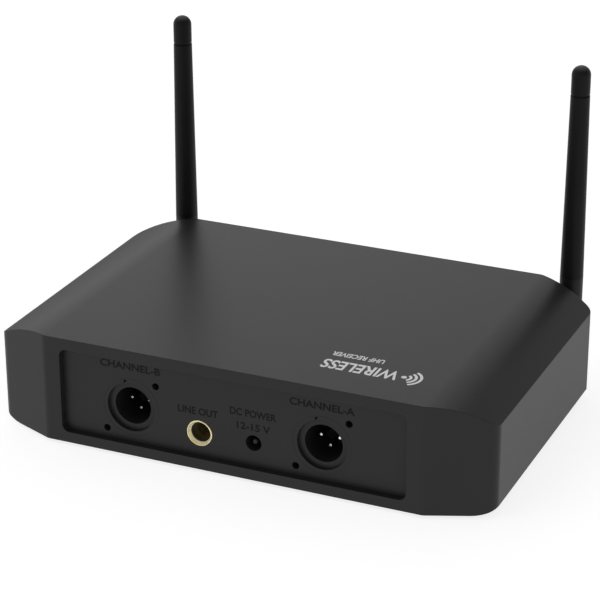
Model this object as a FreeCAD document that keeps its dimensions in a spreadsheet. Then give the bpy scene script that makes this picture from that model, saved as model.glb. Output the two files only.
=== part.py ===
"""Dual-channel wireless microphone receiver, modelled as an assembly of separate pieces.

Frame: millimetres, +Z up, origin on the surface the unit stands on, under the centre of its box.
The connector side (rear) faces +Y, the control side (front) faces -Y, +X is to the right seen from the front.
Channel A lies at -X and channel B at +X.
"""
import FreeCAD, Part
import os
import math
import Sketcher
from FreeCAD import Vector, Placement, Rotation

doc = FreeCAD.newDocument("wireless_receiver")
sheet = doc.addObject("Spreadsheet::Sheet", "dims")

# ---------------------------------------------------------------- driving dimensions
TABLE = [
    # housing
    ("body_half", 95.0), ("front_y", 54.9), ("rear_y", 68.1), ("base_z", 1.5), ("shell_tall", 40.6),
    ("top_half", 71.5), ("shoulder_rad", 42.5), ("under_half", 87.0), ("under_rad", 13.6), ("under_rise", 2.6),
    ("cut_x", 72.1), ("cut_slope", 0.41), ("cut_factor", 1.0808), ("corner_rad", 4.5), ("wall", 2.2),
    ("window_half", 66.0), ("window_low", 5.56), ("window_high", 38.0), ("window_rad", 2.8), ("recess", 4.0), ("rear_recess", 2.6),
    ("collar_half", 68.0), ("collar_low", 4.06), ("collar_high", 40.0), ("collar_end", 6.0), ("rear_collar_end", 4.6),
    ("cover_gap", 0.15), ("cover_thick", 2.4),
    # cover fastening, board fastening, feet
    ("boss_x", 82.5), ("boss_rear", 50.0), ("boss_front", 18.0), ("boss_rad", 3.5), ("boss_low", 5.9),
    ("pilot_rad", 1.3), ("pilot_deep", 14.0), ("pad_rad", 4.5), ("sink_rad", 3.1), ("sink_deep", 2.2),
    ("screw_rad", 1.28), ("screw_head", 2.8), ("screw_head_tall", 1.8), ("screw_long", 12.0), ("clear_rad", 1.6),
    ("post_x", 72.0), ("post_rear", 50.0), ("post_front", 28.0), ("post_rad", 3.0), ("post_pilot", 1.2),
    ("foot_x", 62.0), ("foot_rear", 44.0), ("foot_front", 36.0), ("foot_rad", 6.0), ("foot_sink", 0.6),
    # boards
    ("board_low", 5.3), ("board_thick", 1.6), ("board_half", 77.5), ("board_rear", 60.2), ("board_front", 37.9),
    ("panel_thick", 2.0), ("flange_thick", 1.4), ("flange_half", 67.6), ("flange_low", 4.3), ("flange_high", 39.5),
    ("fit_gap", 0.06),
    # rear sockets, x given as seen from the rear (to the right of centre positive)
    ("xlr_b_x", -39.1), ("xlr_a_x", 34.2), ("xlr_z", 19.1), ("xlr_hole", 11.0), ("xlr_face", 10.9), ("xlr_step", 9.35),
    ("xlr_step_deep", 1.5), ("xlr_bore", 7.05), ("xlr_ear", 9.9), ("xlr_ear_rad", 1.35),
    ("xlr_block", 13.0), ("xlr_deep", 22.0), ("xlr_front", 3.6), ("xlr_floor", 16.4), ("pin_off", 3.5), ("pin_rad", 0.95),
    ("pin_tip", 7.4), ("key_x", 2.0), ("key_z", 9.6), ("key_size", 1.3),
    ("jack_x", -12.45), ("jack_z", 14.2), ("jack_hole", 5.0), ("jack_ring", 4.9), ("jack_sink", 4.5),
    ("jack_sink_deep", 1.5), ("jack_throat", 3.75), ("jack_bore", 3.25), ("jack_proud", 0.15), ("jack_thread", 4.6), ("jack_half", 6.2),
    ("jack_deep", 30.0), ("dc_x", 8.4), ("dc_z", 14.6), ("dc_rad", 3.0), ("dc_pin", 1.0), ("dc_half", 4.5), ("dc_deep", 14.0),
    # front controls, seen from the front
    ("ctrl_z", 21.8), ("knob_x", 43.0), ("knob_rad", 8.5), ("knob_long", 11.8), ("knob_gap", 0.6), ("knob_hollow", 6.6),
    ("shaft_rad", 3.0), ("shaft_bore", 3.05), ("bushing_rad", 3.5), ("power_x", 58.5), ("power_rad", 4.0),
    ("set_x", 27.5), ("set_z", 15.8), ("set_rad", 2.8), ("button_gap", 0.2), ("lamp_z", 28.3), ("lamp_off", 3.2), ("lamp_rad", 1.5),
    ("glass_x", 21.0), ("glass_z", 10.0), ("glass_rad", 2.0), ("front_board_gap", 10.2), ("fpost_x", 61.0),
    ("fpost_low", 10.5), ("fpost_high", 33.5), ("fpost_rad", 2.5),
    # antennas
    ("ant_x", 81.0), ("ant_y", 63.7), ("hinge_z", 24.0), ("seat_y", 53.6), ("seat_rad", 6.5), ("socket_rad", 4.05),
    ("tube_rad", 4.0), ("barrel_rad", 3.0), ("knuckle_rad", 4.4), ("fork_web", 59.0), ("tongue_half", 2.0), ("slot_half", 2.1),
    ("tongue_rad", 4.3), ("hinge_pin", 1.2), ("collar_rad", 4.4), ("collar_start", 28.9), ("collar_top", 39.6),
    ("whip_low", 4.4), ("whip_high", 3.6), ("groove_low", 111.1), ("groove_high", 111.9), ("groove_rad", 3.15),
    ("whip_tip", 122.5), ("tip_rad", 3.55),
]
for row, (name, value) in enumerate(TABLE, start=1):
    sheet.set("A%d" % row, name)
    sheet.set("B%d" % row, str(value))
    sheet.setAlias("B%d" % row, name)
doc.recompute()


class Q:
    """A size: its value now, and the sheet expression that drives it."""

    def __init__(self, v, e):
        self.v, self.e = float(v), e

    def _op(self, o, sign, v):
        return Q(v, "(%s %s %s)" % (self.e, sign, o.e))

    def __add__(self, o): o = q(o); return self._op(o, "+", self.v + o.v)
    def __sub__(self, o): o = q(o); return self._op(o, "-", self.v - o.v)
    def __mul__(self, o): o = q(o); return self._op(o, "*", self.v * o.v)
    def __truediv__(self, o): o = q(o); return self._op(o, "/", self.v / o.v)
    def __radd__(self, o): return q(o) + self
    def __rsub__(self, o): return q(o) - self
    def __rmul__(self, o): return q(o) * self
    def __neg__(self): return Q(-self.v, "(0 - %s)" % self.e)

    def root(self): return Q(math.sqrt(self.v), "sqrt(%s)" % self.e)


def q(o):
    return o if isinstance(o, Q) else Q(o, repr(float(o)))


class Dims:
    pass


d = Dims()
for name, value in TABLE:
    setattr(d, name, Q(value, "dims." + name))

FRONTWARD = Rotation(Vector(1, 0, 0), 90)                                       # local z -> -Y, y -> +Z, x -> +X
REARWARD = Rotation(Vector(0, 0, 1), 180).multiply(Rotation(Vector(1, 0, 0), 90))   # local z -> +Y, y -> +Z, x -> -X
UP = Rotation()


def bind(obj, prop, value):
    value = q(value)
    setattr(obj, prop, value.v)
    if "dims." in value.e:
        obj.setExpression(prop, value.e)


def place(obj, x=0, y=0, z=0, rot=UP):
    x, y, z = q(x), q(y), q(z)
    obj.Placement = Placement(Vector(x.v, y.v, z.v), rot)
    for axis, value in (("x", x), ("y", y), ("z", z)):
        if "dims." in value.e:
            obj.setExpression("Placement.Base." + axis, value.e)
    return obj


# ---------------------------------------------------------------- sketches and features
def new_body(name, x=0, y=0, z=0, rot=UP):
    body = doc.addObject("PartDesign::Body", name)
    body.Label = name
    place(body, x, y, z, rot)
    return body


def sketch(body, plane, offset=0):
    sk = body.newObject("Sketcher::SketchObject", body.Name + "_sketch")
    for f in body.Origin.OriginFeatures:
        if f.Role == plane:
            sk.AttachmentSupport = [(f, "")]
    sk.MapMode = "FlatFace"
    offset = q(offset)
    sk.AttachmentOffset = Placement(Vector(0, 0, offset.v), Rotation())
    if "dims." in offset.e:
        sk.setExpression("AttachmentOffset.Base.z", offset.e)
    return sk


def pin_point(sk, geo, pos, x, y):
    """Holds a sketch point at x, y from the sketch origin, each driven by the sheet."""
    for kind, value, axis in (("DistanceX", q(x), -2), ("DistanceY", q(y), -1)):
        if abs(value.v) < 1e-9:
            sk.addConstraint(Sketcher.Constraint("PointOnObject", geo, pos, axis))
            continue
        if value.v > 0:
            i = sk.addConstraint(Sketcher.Constraint(kind, -1, 1, geo, pos, value.v))
            text = value.e
        else:
            i = sk.addConstraint(Sketcher.Constraint(kind, geo, pos, -1, 1, -value.v))
            text = "0 - " + value.e
        if "dims." in text:
            sk.setExpression("Constraints[%d]" % i, text)


def outline(sk, points, arcs=None):
    """A closed outline through points; arcs maps a segment's index to (radius, +1 or -1 for the side of its centre)."""
    arcs = arcs or {}
    n = len(points)
    first = None
    made = []
    for i in range(n):
        ax, ay = q(points[i][0]).v, q(points[i][1]).v
        bx, by = q(points[(i + 1) % n][0]).v, q(points[(i + 1) % n][1]).v
        if i in arcs:
            rad, side = q(arcs[i][0]), arcs[i][1]
            mx, my = (ax + bx) / 2, (ay + by) / 2
            dx, dy = bx - ax, by - ay
            half = math.hypot(dx, dy) / 2
            up = math.sqrt(max(rad.v ** 2 - half ** 2, 0.0))
            cx, cy = mx - side * dy / (2 * half) * up, my + side * dx / (2 * half) * up
            a0, a1 = math.atan2(ay - cy, ax - cx), math.atan2(by - cy, bx - cx)
            circle = Part.Circle(Vector(cx, cy, 0), Vector(0, 0, 1), rad.v)
            if side > 0:      # centre to the left: counter-clockwise from a to b
                geo = sk.addGeometry(Part.ArcOfCircle(circle, a0, a1 if a1 > a0 else a1 + 2 * math.pi), False)
                made.append((geo, 1, 2, rad))
            else:
                geo = sk.addGeometry(Part.ArcOfCircle(circle, a1, a0 if a0 > a1 else a0 + 2 * math.pi), False)
                made.append((geo, 2, 1, rad))
        else:
            geo = sk.addGeometry(Part.LineSegment(Vector(ax, ay, 0), Vector(bx, by, 0)), False)
            made.append((geo, 1, 2, None))
    for i in range(n):
        geo, s, e, rad = made[i]
        nxt = made[(i + 1) % n]
        sk.addConstraint(Sketcher.Constraint("Coincident", geo, e, nxt[0], nxt[1]))
    for i in range(n):
        geo, s, e, rad = made[i]
        pin_point(sk, geo, s, points[i][0], points[i][1])
    for k, (geo, s, e, rad) in enumerate(made):
        if rad is not None:
            (ax, ay), (bx, by) = points[k], points[(k + 1) % n]
            ax, ay, bx, by = q(ax), q(ay), q(bx), q(by)
            if abs(math.hypot(bx.v - ax.v, by.v - ay.v) / 2 - rad.v) < 1e-6:      # a half circle: its centre's height is held instead
                i = sk.addConstraint(Sketcher.Constraint("DistanceY", -1, 1, geo, 3, ay.v))
                if "dims." in ay.e:
                    sk.setExpression("Constraints[%d]" % i, ay.e)
                continue
            i = sk.addConstraint(Sketcher.Constraint("Radius", geo, rad.v))
            if "dims." in rad.e:
                sk.setExpression("Constraints[%d]" % i, rad.e)


def circle(sk, x, y, rad):
    x, y, rad = q(x), q(y), q(rad)
    geo = sk.addGeometry(Part.Circle(Vector(x.v, y.v, 0), Vector(0, 0, 1), rad.v), False)
    i = sk.addConstraint(Sketcher.Constraint("Radius", geo, rad.v))
    if "dims." in rad.e:
        sk.setExpression("Constraints[%d]" % i, rad.e)
    pin_point(sk, geo, 3, x, y)


def rect(sk, x0, y0, x1, y1):
    outline(sk, [(x0, y0), (x1, y0), (x1, y1), (x0, y1)])


def round_rect(sk, x0, y0, x1, y1, rad):
    x0, y0, x1, y1, rad = q(x0), q(y0), q(x1), q(y1), q(rad)
    pts = [(x0 + rad, y0), (x1 - rad, y0), (x1, y0 + rad), (x1, y1 - rad), (x1 - rad, y1), (x0 + rad, y1), (x0, y1 - rad), (x0, y0 + rad)]
    outline(sk, pts, {1: (rad, 1), 3: (rad, 1), 5: (rad, 1), 7: (rad, 1)})


def pad(body, sk, length):
    f = body.newObject("PartDesign::Pad", body.Name + "_pad")
    f.Profile = sk
    bind(f, "Length", length)
    body.Tip = f
    return f


def pocket(body, sk, length):
    """Cuts from the sketch plane towards its back, so the sketch stands at the mouth of the cut."""
    doc.recompute()
    before = body.Shape.Volume
    f = body.newObject("PartDesign::Pocket", body.Name + "_pocket")
    f.Profile = sk
    bind(f, "Length", length)
    body.Tip = f
    doc.recompute()
    if not body.Shape.Volume < before - 1e-6:
        raise RuntimeError("%s: a pocket removed nothing" % body.Name)
    return f


def revolve(body, sk):
    f = body.newObject("PartDesign::Revolution", body.Name + "_revolution")
    f.Profile = sk
    f.ReferenceAxis = (sk, ["V_Axis"])
    f.Angle = 360.0
    body.Tip = f
    return f


def groove_round(body, sk):
    doc.recompute()
    before = body.Shape.Volume
    f = body.newObject("PartDesign::Groove", body.Name + "_groove")
    f.Profile = sk
    f.ReferenceAxis = (sk, ["V_Axis"])
    f.Angle = 360.0
    body.Tip = f
    doc.recompute()
    if not body.Shape.Volume < before - 1e-6:
        raise RuntimeError("%s: a groove removed nothing" % body.Name)
    return f


def round_edges(body, base, rad, pick):
    """Rounds the edges of the body's tip that pick(edge) chooses."""
    doc.recompute()
    names = ["Edge%d" % (i + 1) for i, e in enumerate(base.Shape.Edges) if pick(e)]
    if not names:
        raise RuntimeError("%s: no edge to round" % body.Name)
    f = body.newObject("PartDesign::Fillet", body.Name + "_fillet")
    f.Base = (base, names)
    bind(f, "Radius", rad)
    body.Tip = f
    return f


def turned(name, points, x=0, y=0, z=0, rot=UP, arcs=None):
    """A piece turned about its own z axis, from an outline of (radius, height) points."""
    body = new_body(name, x, y, z, rot)
    sk = sketch(body, "XZ_Plane")
    outline(sk, points, arcs)
    revolve(body, sk)
    return body


# ---------------------------------------------------------------- primitives and booleans
def cyl(name, rad, low, high, x=0, y=0, z=0, rot=UP):
    """A cylinder whose axis is the local z of rot, from low to high along it, measured from (x, y, z)."""
    c = doc.addObject("Part::Cylinder", name)
    bind(c, "Radius", rad)
    low, high = q(low), q(high)
    bind(c, "Height", high - low)
    axis = rot.multVec(Vector(0, 0, 1))
    place(c, q(x) + low * round(axis.x, 6) if abs(axis.x) > .5 else x,
          q(y) + low * round(axis.y, 6) if abs(axis.y) > .5 else y,
          q(z) + low * round(axis.z, 6) if abs(axis.z) > .5 else z, rot)
    return c


def box(name, x0, x1, y0, y1, z0, z1):
    b = doc.addObject("Part::Box", name)
    x0, x1, y0, y1, z0, z1 = q(x0), q(x1), q(y0), q(y1), q(z0), q(z1)
    bind(b, "Length", x1 - x0)
    bind(b, "Width", y1 - y0)
    bind(b, "Height", z1 - z0)
    place(b, x0, y0, z0)
    return b


def fuse(name, parts):
    f = doc.addObject("Part::MultiFuse", name)
    f.Shapes = parts
    f.Label = name
    return f


def cut(name, base, tool):
    f = doc.addObject("Part::Cut", name)
    f.Base, f.Tool = base, tool
    f.Label = name
    return f


def group(name, parts):
    """Identical or like pieces that share one node, as separate solids."""
    g = doc.addObject("Part::Compound", name)
    g.Links = parts
    g.Label = name
    return g


nodes = []


def node(obj, name):
    obj.Label = name
    nodes.append((obj, name))
    return obj


SIDES = (("a", -1), ("b", 1))

# ---------------------------------------------------------------- housing
def plan(sk, inset):
    """The octagonal plan, moved inwards by inset."""
    inset = q(inset)
    yf, yr = -(d.front_y - inset), d.rear_y - inset
    x1 = d.body_half - inset
    x0 = d.cut_x - inset * (d.cut_factor - 1) / d.cut_slope
    drop = d.cut_slope * (d.body_half - d.cut_x) + inset * (d.cut_factor - d.cut_slope)
    yr1, yf1 = d.rear_y - drop, -(d.front_y - drop)
    outline(sk, [(-x0, yf), (x0, yf), (x1, yf1), (x1, yr1), (x0, yr), (-x0, yr), (-x1, yr1), (-x1, yf1)])


def section_cut(body, inset, open_below):
    """Trims a block to the housing's cross-section: flat top, rolled shoulders, straight sides, lifted lower edges."""
    inset = q(inset)
    rad = d.shoulder_rad - inset
    mid = d.base_z + d.shell_tall - d.shoulder_rad
    x1 = d.body_half - inset
    reach = x1 - d.top_half
    side = mid + (rad * rad - reach * reach).root()
    top = d.base_z + d.shell_tall - inset
    sk = sketch(body, "XZ_Plane", d.front_y + 10)
    if open_below:
        outline(sk, [(-x1, d.base_z - 8), (x1, d.base_z - 8), (x1, side), (d.top_half, top), (-d.top_half, top), (-x1, side)],
                {2: (rad, 1), 4: (rad, 1)})
    else:
        outline(sk, [(-d.under_half, d.base_z), (d.under_half, d.base_z), (x1, d.base_z + d.under_rise), (x1, side),
                     (d.top_half, top), (-d.top_half, top), (-x1, side), (-x1, d.base_z + d.under_rise)],
                {1: (d.under_rad, 1), 3: (rad, 1), 5: (rad, 1), 7: (d.under_rad, 1)})
    rect(sk, -d.body_half - 20, d.base_z - 30, d.body_half + 20, d.base_z + d.shell_tall + 20)
    pocket(body, sk, d.front_y + d.rear_y + 30)


def upright(e):
    if len(e.Vertexes) != 2:
        return False
    a, b = e.Vertexes[0].Point, e.Vertexes[1].Point
    return abs(a.x - b.x) < 1e-6 and abs(a.y - b.y) < 1e-6 and abs(a.z - b.z) > 1


outer = new_body("housing_outer")
sk = sketch(outer, "XY_Plane", d.base_z - 1)
plan(sk, 0)
pad(outer, sk, d.shell_tall + 2)
round_edges(outer, outer.Tip, d.corner_rad, upright)
section_cut(outer, 0, False)

core = new_body("housing_core")
sk = sketch(core, "XY_Plane", d.base_z - 5)
plan(sk, d.wall)
pad(core, sk, d.shell_tall + 10)
section_cut(core, d.wall, True)

hollow = cut("housing_hollow", outer, core)

# recess frames behind the front and rear windows, antenna seats, screw bosses
adds = [hollow,
        box("rear_frame", -d.collar_half, d.collar_half, d.rear_y - d.rear_collar_end, d.rear_y - 1.5, d.collar_low, d.collar_high),
        box("front_frame", -d.collar_half, d.collar_half, 1.5 - d.front_y, d.collar_end - d.front_y, d.collar_low, d.collar_high)]
cuts = []
for name, y, sign in (("rear_opening", d.rear_y, 1), ("front_opening", -d.front_y, -1)):
    w = new_body(name, 0, y, 0, REARWARD if sign > 0 else FRONTWARD)
    sk = sketch(w, "XY_Plane", -9)
    round_rect(sk, -d.window_half, d.window_low, d.window_half, d.window_high, d.window_rad)
    pad(w, sk, 14)
    cuts.append(w)
for tag, s in SIDES:
    x = d.ant_x * s
    adds.append(cyl("seat_" + tag, d.seat_rad, 0, d.seat_y - 46, x, -46, d.hinge_z, FRONTWARD))
    cuts.append(cyl("spot_" + tag, d.seat_rad, 0, 9, x, -d.seat_y, d.hinge_z, FRONTWARD))
    cuts.append(cyl("socket_" + tag, d.socket_rad, 0, 22, x, -40, d.hinge_z, FRONTWARD))
    for end, y in (("r", d.boss_rear), ("f", -d.boss_front)):
        bx = d.boss_x * s
        adds.append(cyl("boss_%s_%s" % (tag, end), d.boss_rad, 0, 38.6 - d.boss_low, bx, y, d.boss_low))
        cuts.append(cyl("pilot_%s_%s" % (tag, end), d.pilot_rad, -1, d.pilot_deep, bx, y, d.boss_low))
node(cut("top_cover", fuse("housing_full", adds), fuse("housing_voids", cuts)), "top_cover")

# bottom cover: set inside the walls, screwed to the bosses
bottom = new_body("bottom_cover")
sk = sketch(bottom, "XY_Plane", d.base_z - 1)
plan(sk, d.wall + d.cover_gap)
pad(bottom, sk, d.cover_thick + 1)
section_cut(bottom, 0, False)
sk = sketch(bottom, "XY_Plane", d.base_z + d.cover_thick)
for s in (-1, 1):
    for y in (d.boss_rear, -d.boss_front):
        circle(sk, d.boss_x * s, y, d.pad_rad)
pad(bottom, sk, d.boss_low - d.base_z - d.cover_thick)
sk = sketch(bottom, "XY_Plane", d.base_z + d.cover_thick)
for s in (-1, 1):
    for y in (d.post_rear, -d.post_front):
        circle(sk, d.post_x * s, y, d.post_rad)
pad(bottom, sk, d.board_low - d.base_z - d.cover_thick)
for spec, top, deep in (((d.boss_x, d.boss_rear, d.boss_front, d.sink_rad), d.base_z + d.sink_deep, d.sink_deep),
                        ((d.boss_x, d.boss_rear, d.boss_front, d.clear_rad), d.boss_low, 6),
                        ((d.foot_x, d.foot_rear, d.foot_front, d.foot_rad + 0.1), d.base_z + d.foot_sink, d.foot_sink),
                        ((d.post_x, d.post_rear, d.post_front, d.post_pilot), d.board_low, 3.2)):
    sk = sketch(bottom, "XY_Plane", top)
    for s in (-1, 1):
        for y in (spec[1], -spec[2]):
            circle(sk, spec[0] * s, y, spec[3])
    pocket(bottom, sk, deep)
node(bottom, "bottom_cover")

screws, feet, bscrews = [], [], []
for tag, s in SIDES:
    for end, y in (("r", d.boss_rear), ("f", -d.boss_front)):
        low = d.base_z + d.sink_deep
        screws.append(cut("cover_screw_%s_%s" % (tag, end),
                          fuse("cover_screw_solid_%s_%s" % (tag, end),
                               [cyl("cover_screw_head_%s_%s" % (tag, end), d.screw_head, -d.screw_head_tall, 0, d.boss_x * s, y, low),
                                cyl("cover_screw_shank_%s_%s" % (tag, end), d.screw_rad, 0, d.screw_long, d.boss_x * s, y, low)]),
                          fuse("cover_screw_drive_%s_%s" % (tag, end),
                               [box("drive_x_%s_%s" % (tag, end), d.boss_x * s - 1.5, d.boss_x * s + 1.5, y - 0.3, y + 0.3, low - d.screw_head_tall - 1, low - 0.8),
                                box("drive_y_%s_%s" % (tag, end), d.boss_x * s - 0.3, d.boss_x * s + 0.3, y - 1.5, y + 1.5, low - d.screw_head_tall - 1, low - 0.8)])))
    for end, y in (("r", d.foot_rear), ("f", -d.foot_front)):
        c = cyl("foot_%s_%s" % (tag, end), d.foot_rad, 0, d.base_z + d.foot_sink, d.foot_x * s, y, 0)
        f = doc.addObject("Part::Fillet", "foot_round_%s_%s" % (tag, end))
        doc.recompute()
        f.Base = c
        f.Edges = [(i + 1, 0.6, 0.6) for i, e in enumerate(c.Shape.Edges) if e.BoundBox.ZMax < 1e-3]
        feet.append(f)
    for end, y in (("r", d.post_rear), ("f", -d.post_front)):
        top = d.board_low + d.board_thick
        bscrews.append(fuse("board_screw_%s_%s" % (tag, end),
                            [cyl("board_screw_head_%s_%s" % (tag, end), 2.8, 0, 1.8, d.post_x * s, y, top),
                             cyl("board_screw_shank_%s_%s" % (tag, end), d.post_pilot - 0.02, -4.4, 0, d.post_x * s, y, top)]))
node(group("cover_screws", screws), "cover_screws")
node(group("rubber_feet", feet), "rubber_feet")
node(group("board_screws", bscrews), "board_screws")

# ---------------------------------------------------------------- the two recessed panels
def panel(name, y, rot):
    """A moulded plate that fills a window from inside, with a wider flange behind it. Its local z = 0 is the recess floor."""
    body = new_body(name, 0, y, 0, rot)
    sk = sketch(body, "XY_Plane", -d.panel_thick)
    g = d.fit_gap
    round_rect(sk, -d.window_half + g, d.window_low + g, d.window_half - g, d.window_high - g, d.window_rad)
    pad(body, sk, d.panel_thick)
    sk = sketch(body, "XY_Plane", -d.panel_thick - d.flange_thick)
    rect(sk, -d.flange_half, d.flange_low, d.flange_half, d.flange_high)
    pad(body, sk, d.flange_thick)
    return body


floor_rear = d.rear_y - d.rear_recess
floor_front = d.recess - d.front_y
rear = panel("rear_panel", floor_rear, REARWARD)
sk = sketch(rear, "XY_Plane", 1)
for x in (d.xlr_b_x, d.xlr_a_x):
    circle(sk, x, d.xlr_z, d.xlr_hole)
    circle(sk, x + d.xlr_ear, d.xlr_z + d.xlr_ear, d.xlr_ear_rad)
    circle(sk, x - d.xlr_ear, d.xlr_z - d.xlr_ear, d.xlr_ear_rad)
circle(sk, d.jack_x, d.jack_z, d.jack_hole)
circle(sk, d.dc_x, d.dc_z, d.dc_rad)
pocket(rear, sk, 8)
node(rear, "rear_panel")

front = panel("front_panel", floor_front, FRONTWARD)
sk = sketch(front, "XY_Plane", -d.front_board_gap)
for x in (-d.fpost_x, d.fpost_x):
    for z in (d.fpost_low, d.fpost_high):
        circle(sk, x, z, d.fpost_rad)
pad(front, sk, d.front_board_gap - d.panel_thick - 0.2)
sk = sketch(front, "XY_Plane", 1)
for s in (-1, 1):
    circle(sk, d.knob_x * s, d.ctrl_z, d.bushing_rad + 0.1)
    circle(sk, d.set_x * s, d.set_z, d.set_rad + d.button_gap)
    for o in (-1, 1):
        circle(sk, d.set_x * s + d.lamp_off * o, d.lamp_z, d.lamp_rad + 0.1)
circle(sk, -d.power_x, d.ctrl_z, d.power_rad + d.button_gap)
circle(sk, d.power_x, d.ctrl_z, d.lamp_rad + 0.1)
round_rect(sk, -d.glass_x - 0.1, d.ctrl_z - d.glass_z - 0.1, d.glass_x + 0.1, d.ctrl_z + d.glass_z + 0.1, d.glass_rad)
pocket(front, sk, 8)
# the window's seat is cut from behind, so its sketch looks the other way
seat = front.newObject("Sketcher::SketchObject", "front_panel_seat")
for f in front.Origin.OriginFeatures:
    if f.Role == "XY_Plane":
        seat.AttachmentSupport = [(f, "")]
seat.MapMode = "FlatFace"
seat.AttachmentOffset = Placement(Vector(0, 0, -1.5), Rotation())
rect(seat, -d.glass_x - 1.6, d.ctrl_z - d.glass_z - 1.6, d.glass_x + 1.6, d.ctrl_z + d.glass_z + 1.6)
pocket(front, seat, 4)
sk = sketch(front, "XY_Plane", -d.panel_thick - d.flange_thick)
for x in (-d.fpost_x, d.fpost_x):
    for z in (d.fpost_low, d.fpost_high):
        circle(sk, x, z, 1.08)
pocket(front, sk, 12)
node(front, "front_panel")

# ---------------------------------------------------------------- rear sockets
def balanced_socket(tag, x):
    shell = new_body("xlr_shell_" + tag, -x, floor_rear, d.xlr_z, REARWARD)
    sk = sketch(shell, "XY_Plane", -d.xlr_deep)
    rect(sk, -d.xlr_block, d.board_low + d.board_thick - d.xlr_z, d.xlr_block, d.xlr_block)
    pad(shell, sk, d.xlr_deep - d.xlr_front)
    sk = sketch(shell, "XY_Plane", -d.xlr_front)
    circle(sk, 0, 0, d.xlr_face)
    pad(shell, sk, d.xlr_front)
    sk = sketch(shell, "XY_Plane", 0)
    circle(sk, 0, 0, d.xlr_step)
    pocket(shell, sk, d.xlr_step_deep)
    sk = sketch(shell, "XY_Plane", 0)
    circle(sk, 0, 0, d.xlr_bore)
    pocket(shell, sk, d.xlr_deep + 1)
    sk = sketch(shell, "XY_Plane", 0)
    k, h = d.key_size / 2, d.key_z
    outline(sk, [(-d.key_x - k, h - k), (-d.key_x + k, h + k), (-d.key_x - k, h + k)])
    pocket(shell, sk, 1.4)
    sk = sketch(shell, "XY_Plane", -d.xlr_front)
    circle(sk, d.xlr_ear, d.xlr_ear, 1.1)
    circle(sk, -d.xlr_ear, -d.xlr_ear, 1.1)
    pocket(shell, sk, 8)
    node(shell, "xlr_shell_" + tag)
    insert = new_body("xlr_insert_body_" + tag, -x, floor_rear, d.xlr_z, REARWARD)
    sk = sketch(insert, "XY_Plane", -d.xlr_deep + 0.4)
    circle(sk, 0, 0, d.xlr_bore - 0.05)
    for px, pz in ((-d.pin_off, 0), (d.pin_off, 0), (0, -d.pin_off)):
        circle(sk, px, pz, d.pin_rad + 0.02)
    pad(insert, sk, d.xlr_deep - d.xlr_floor - 0.4)
    pins = []
    for i, (px, pz) in enumerate(((-d.pin_off, q(0)), (d.pin_off, q(0)), (q(0), -d.pin_off))):
        # local x runs towards -X, so the pin's place in the row frame is -(x + px)
        pins.append(turned("xlr_pin_%s_%d" % (tag, i),
                           [(0, -d.xlr_deep), (d.pin_rad, -d.xlr_deep), (d.pin_rad, -d.pin_tip - 0.9), (d.pin_rad * 0.5, -d.pin_tip), (0, -d.pin_tip)],
                           -x - px, floor_rear, d.xlr_z + pz, REARWARD))
    node(group("xlr_pins_" + tag, pins), "xlr_pins_" + tag)
    return insert


inserts = [balanced_socket("a", d.xlr_a_x), balanced_socket("b", d.xlr_b_x)]
node(group("xlr_inserts", inserts), "xlr_inserts")

ring = turned("mix_jack_bushing",
              [(d.jack_bore, -6), (d.jack_thread, -6), (d.jack_thread, -3.4), (d.jack_ring, -3.4), (d.jack_ring, d.jack_proud - 0.2),
               (d.jack_ring - 0.2, d.jack_proud), (d.jack_sink, d.jack_proud), (d.jack_throat, d.jack_proud - d.jack_sink_deep),
               (d.jack_bore, d.jack_proud - d.jack_sink_deep)],
              -d.jack_x, floor_rear, d.jack_z, REARWARD)
node(ring, "mix_jack_bushing")
board_top = d.board_low + d.board_thick
jack = new_body("mix_jack_body", -d.jack_x, floor_rear, d.jack_z, REARWARD)
sk = sketch(jack, "XY_Plane", -d.jack_deep)
rect(sk, -d.jack_half, board_top - d.jack_z, d.jack_half, d.jack_half + 0.3)
pad(jack, sk, d.jack_deep - 3.6)
sk = sketch(jack, "XY_Plane", -3.6)
circle(sk, 0, 0, d.jack_thread + 0.02)
pocket(jack, sk, 2.5)
sk = sketch(jack, "XY_Plane", -6)
circle(sk, 0, 0, d.jack_bore + 0.75)
pocket(jack, sk, 22)
node(jack, "mix_jack_body")
tabs = []
for i, (s, y) in enumerate(((-1, 38), (1, 38), (-1, 54), (1, 54))):
    x0 = -d.jack_x + s * (d.jack_half + 0.22)
    tabs.append(box("jack_tab_%d" % i, x0 - 0.2, x0 + 0.2, y, y + 2.4, board_top + 0.02, board_top + 7))
node(group("mix_jack_contacts", tabs), "mix_jack_contacts")

dc = new_body("dc_jack_body", -d.dc_x, floor_rear, d.dc_z, REARWARD)
sk = sketch(dc, "XY_Plane", -d.dc_deep)
rect(sk, -d.dc_half, board_top - d.dc_z, d.dc_half, d.dc_half + 0.4)
pad(dc, sk, d.dc_deep - 3.5)
sk = sketch(dc, "XY_Plane", -3.5)
circle(sk, 0, 0, d.dc_rad)
pocket(dc, sk, 8.5)
sk = sketch(dc, "XY_Plane", -12)
circle(sk, 0, 0, d.dc_pin + 0.02)
pocket(dc, sk, 4)
node(dc, "dc_jack_body")
node(turned("dc_jack_pin", [(0, -13.6), (d.dc_pin, -13.6), (d.dc_pin, -1.5), (d.dc_pin - 0.3, -1.2), (0, -1.2)],
            -d.dc_x, floor_rear, d.dc_z, REARWARD), "dc_jack_pin")

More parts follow.
